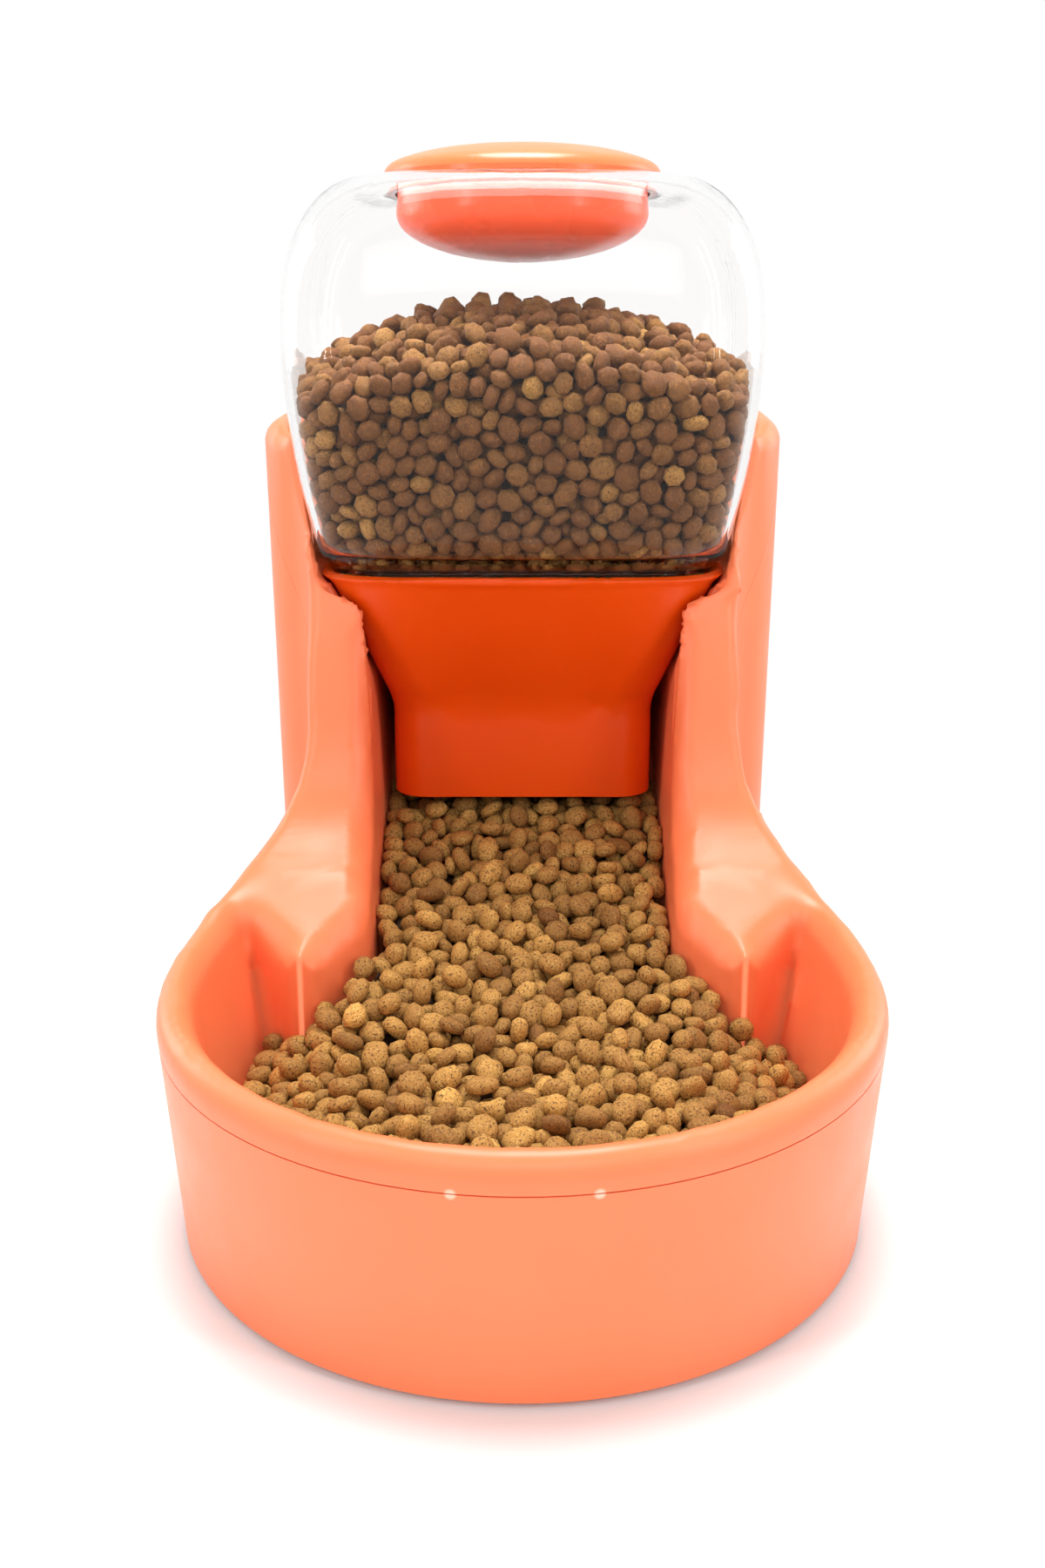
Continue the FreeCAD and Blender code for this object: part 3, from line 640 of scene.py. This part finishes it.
def pour(node, seed, scale, from_top, flat_share, lean):
    """Centres, turns and sizes of the pieces in the CAD heap named node, down to SEEN_DEPTH under its skin,
    or only under its top where from_top is set. One piece is thrown in for each ROOM times the product of
    its half sizes. Beside the skin, flat_share of them lie flat to it, and lean turns the rest flat side up.
    A piece counts only while its centre lies DEEP half thicknesses under the skin."""
    rng = np.random.default_rng(seed)
    half = PIECE_HALF * scale
    tree = BVHTree.FromObject(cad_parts[node], bpy.context.evaluated_depsgraph_get())
    low, high = (np.array(corner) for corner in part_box(node))
    points = rng.uniform(low, high, (int((high - low).prod() / (ROOM * half.prod())), 3))
    depth, _ = skin_depth(tree, points)
    rise, inside = rise_to_skin(tree, points)
    near = rise < SEEN_DEPTH if from_top else depth < SEEN_DEPTH
    points = points[inside & near & (depth > half[2] * DEEP_AT_FIRST)]
    count = len(points)
    sizes = half * rng.normal(1.0, SHAPE_SPREAD, (count, 3)) * rng.normal(1.0, SIZE_SPREAD, (count, 1))
    depth, outward = skin_depth(tree, points)
    axes = rng.normal(size=(count, 3)) + np.array([0, 0, lean])
    beside = (depth < 2 * half[2]) & (rng.random(count) < flat_share)
    axes[beside] = outward[beside] * FLAT_PULL + rng.normal(size=(beside.sum(), 3)) * FLAT_LOOSE
    axes /= np.linalg.norm(axes, axis=1, keepdims=True)
    turns = turned_to(axes, rng.uniform(0, 2 * np.pi, count))
    for _ in range(ROUNDS):
        points = points + DRIFT * (UP if from_top else outward)
        first, second = neighbours(points, LOOK_WITHIN * half[0])
        gap = points[second] - points[first]
        apart = np.linalg.norm(gap, axis=1, keepdims=True)
        way = gap / np.maximum(apart, SAME_POINT)
        both = extent(turns[first], sizes[first], way) + extent(turns[second], sizes[second], way)
        push = np.clip((TOUCH * both)[:, None] - apart, 0, None) * way * PUSH
        move = np.zeros_like(points)
        np.add.at(move, first, -push)
        np.add.at(move, second, push)
        points = points + move
        depth, outward = skin_depth(tree, points)
        short = np.clip(extent(turns, sizes, outward) - SKIN_GAP - depth, 0, LONGEST_PUSH)
        points = points - outward * short[:, None]
    depth, _ = skin_depth(tree, points)
    _, inside = rise_to_skin(tree, points)
    kept = inside & (depth > half[2] * DEEP_AT_LAST)
    print(node, "holds", kept.sum(), "pieces,", count - kept.sum(), "left out at corners")
    return points[kept], turns[kept], sizes[kept], rng


# %% [markdown]
# The three heaps are filled one after another. The food in the bowl lies open and close to the camera, so
# its pieces get more faces than those behind the tank's wall. The food in the tank is given a much darker
# brown than the same food in the bowl: painted shade, for the food in the tank lies in shade.

# %% Fill the bowl, the hopper and the tank
HEAPS = (
    # new piece, CAD node, body, (seed, scale, from_top, flat_share, lean), (sectors, rings,
    # middle_tone_and_shade)
    ("food_pieces_in_bowl", "kibble_in_bowl", "base", (11, 1.0, True, 0.35, 0.9), (9, 4, 0.56)),
    ("food_pieces_in_hopper", "kibble_in_hopper", "base", (12, 0.95, True, 0.30, 0.6), (8, 3, 0.5)),
    # The tank's middle tone of 0.03 is painted shade: the same food as in the bowl, made far darker.
    ("food_pieces_in_tank", "kibble_in_tank", "tank", (13, 0.95, False, 0.55, 0.4), (7, 4, 0.03)),
)
for name, node, body, pouring, shaping in HEAPS:
    points, turns, sizes, rng = pour(node, *pouring)
    food = food_mesh(name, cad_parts[node].data, points, turns, sizes, *shaping, rng)
    poured = bpy.data.objects.new(name, food)
    poured.data.materials.append(crumb_finish)
    bpy.context.scene.collection.objects.link(poured)
    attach(poured, body)
    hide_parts(node)
    print(name, "has", sum(len(p.vertices) - 2 for p in poured.data.polygons), "triangles")

# %% [markdown]
# ## Floor
#
# The feeder stands on a seamless white sheet. A white floor that fills the picture can be lit until it
# burns out, but then the plastic burns out too. Here the floor is a pale diffuse disc that keeps the soft
# shadow near the feeder, and further out the camera sees it turn into plain white, the same white as the
# world behind it, so no edge shows.

# %% Floor and white surround
FLOOR_RADIUS = 4.0
SHEET_GRAINS_PER_METRE = 900.0
FADE_FROM, FADE_TO = 0.17, 0.34


def background_rays(tree):
    """1 for rays from the camera, mirrored rays and rays through clear plastic, and 0 for the rest. Rays that
    light something dull, in the tank too, have a diffuse depth above 0 and never see the white."""
    path = tree.nodes.new("ShaderNodeLightPath")
    total = path.outputs["Is Camera Ray"]
    for kind in ("Is Glossy Ray", "Is Transmission Ray"):
        highest = tree.nodes.new("ShaderNodeMath")
        highest.operation = "MAXIMUM"
        tree.links.new(total, highest.inputs[0])
        tree.links.new(path.outputs[kind], highest.inputs[1])
        total = highest.outputs[0]
    clean = spread(tree, path.outputs["Diffuse Depth"], 1.0, 0.0, 0.0, 1.0)
    both = tree.nodes.new("ShaderNodeMath")
    both.operation = "MULTIPLY"
    tree.links.new(total, both.inputs[0])
    tree.links.new(clean, both.inputs[1])
    return both.outputs[0]


def white_floor():
    """A disc whose finish fades from pale diffuse near the feeder to plain white further out."""
    around = np.linspace(0, 2 * np.pi, 128, endpoint=False)
    rim = np.stack([FLOOR_RADIUS * np.cos(around), FLOOR_RADIUS * np.sin(around), 0 * around], axis=1)
    mesh = bpy.data.meshes.new("white_floor")
    mesh.from_pydata(rim.tolist(), [], [list(range(len(rim)))])
    made, tree, shader, place = finish_named("white_sheet")
    shader.inputs["Base Color"].default_value = (0.90, 0.90, 0.90, 1.0)
    shader.inputs["Roughness"].default_value = 0.7
    raised(tree, shader, noise(tree, place, SHEET_GRAINS_PER_METRE), 0.05, 0.0001)
    away = tree.nodes.new("ShaderNodeVectorMath")
    away.operation = "LENGTH"
    tree.links.new(place, away.inputs[0])
    fade = spread(tree, away.outputs["Value"], 0.0, 1.0, FADE_FROM, FADE_TO)
    seen = tree.nodes.new("ShaderNodeMath")
    seen.operation = "MULTIPLY"
    tree.links.new(fade, seen.inputs[0])
    tree.links.new(background_rays(tree), seen.inputs[1])
    white = tree.nodes.new("ShaderNodeEmission")
    white.inputs["Strength"].default_value = 1.0
    either = tree.nodes.new("ShaderNodeMixShader")
    tree.links.new(seen.outputs[0], either.inputs[0])
    tree.links.new(shader.outputs[0], either.inputs[1])
    tree.links.new(white.outputs[0], either.inputs[2])
    output = next(n for n in tree.nodes if n.type == "OUTPUT_MATERIAL")
    tree.links.new(either.outputs[0], output.inputs["Surface"])
    mesh.materials.append(made)
    floor = bpy.data.objects.new("white_floor", mesh)
    bpy.context.scene.collection.objects.link(floor)


white_floor()
print("floor disc", FLOOR_RADIUS, "m in radius, plain white beyond", FADE_TO, "m")

# %% [markdown]
# ## Light
#
# The photograph has soft light from all round and a little more from above. A world of even light gives
# the first, and one broad lamp overhead gives the second and the soft shadow. A lamp in front fills the
# face of the bowl. Two tall narrow lamps in front, left and right, light little, but the tank's round
# edges mirror them as upright lines. Two lamps behind brighten the outer edges of the arms.

# %% World and lamps
AMBIENT = 0.38


def even_world():
    """A world that the camera sees as white and that lights the feeder evenly at the level AMBIENT."""
    world = bpy.data.worlds.new("studio")
    bpy.context.scene.world = world
    world.use_nodes = True
    tree = world.node_tree
    glow = next(n for n in tree.nodes if n.type == "BACKGROUND")
    output = next(n for n in tree.nodes if n.type == "OUTPUT_WORLD")
    glow.inputs["Color"].default_value = (1.0, 1.0, 1.0, 1.0)
    glow.inputs["Strength"].default_value = AMBIENT
    white = tree.nodes.new("ShaderNodeBackground")
    white.inputs["Color"].default_value = (1.0, 1.0, 1.0, 1.0)
    white.inputs["Strength"].default_value = 1.0
    either = tree.nodes.new("ShaderNodeMixShader")
    tree.links.new(background_rays(tree), either.inputs[0])
    tree.links.new(glow.outputs[0], either.inputs[1])
    tree.links.new(white.outputs[0], either.inputs[2])
    tree.links.new(either.outputs[0], output.inputs["Surface"])


def soft_lamp(name, place, aim, width, height, watts):
    """A rectangular lamp at place that faces aim."""
    lamp = bpy.data.lights.new(name, "AREA")
    lamp.shape = "RECTANGLE"
    lamp.size, lamp.size_y = width, height
    lamp.energy = watts
    made = bpy.data.objects.new(name, lamp)
    made.location = place
    made.rotation_euler = (made.location - Vector(aim)).to_track_quat("Z", "Y").to_euler()
    bpy.context.scene.collection.objects.link(made)


LAMPS = (
    # name, place, the height on the axis that it faces, width, height, watts
    ("overhead", (0.0, 0.1, 1.2), 0.10, 0.5, 0.5, 15.0),
    ("front_fill", (0.0, -1.3, 0.85), 0.10, 1.2, 0.6, 6.0),
    ("left_edge", (-0.75, -0.55, 0.55), 0.20, 0.03, 0.8, 2.5),
    ("right_edge", (0.75, -0.55, 0.55), 0.20, 0.03, 0.8, 2.5),
    ("left_back", (-0.9, 0.5, 0.5), 0.15, 0.5, 0.7, 3.0),
    ("right_back", (0.9, 0.5, 0.5), 0.15, 0.5, 0.7, 3.0),
)
even_world()
for lamp_name, lamp_place, aim_height, width, height, watts in LAMPS:
    soft_lamp(lamp_name, lamp_place, (0, 0, aim_height), width, height, watts)
bpy.context.scene.view_settings.view_transform = "Standard"
print(len(LAMPS), "soft lamps, world at", AMBIENT)

# %% [markdown]
# ## Last update
#
# The scene is brought up to date once more.

# %% Bring the scene up to date
bpy.context.view_layer.update()
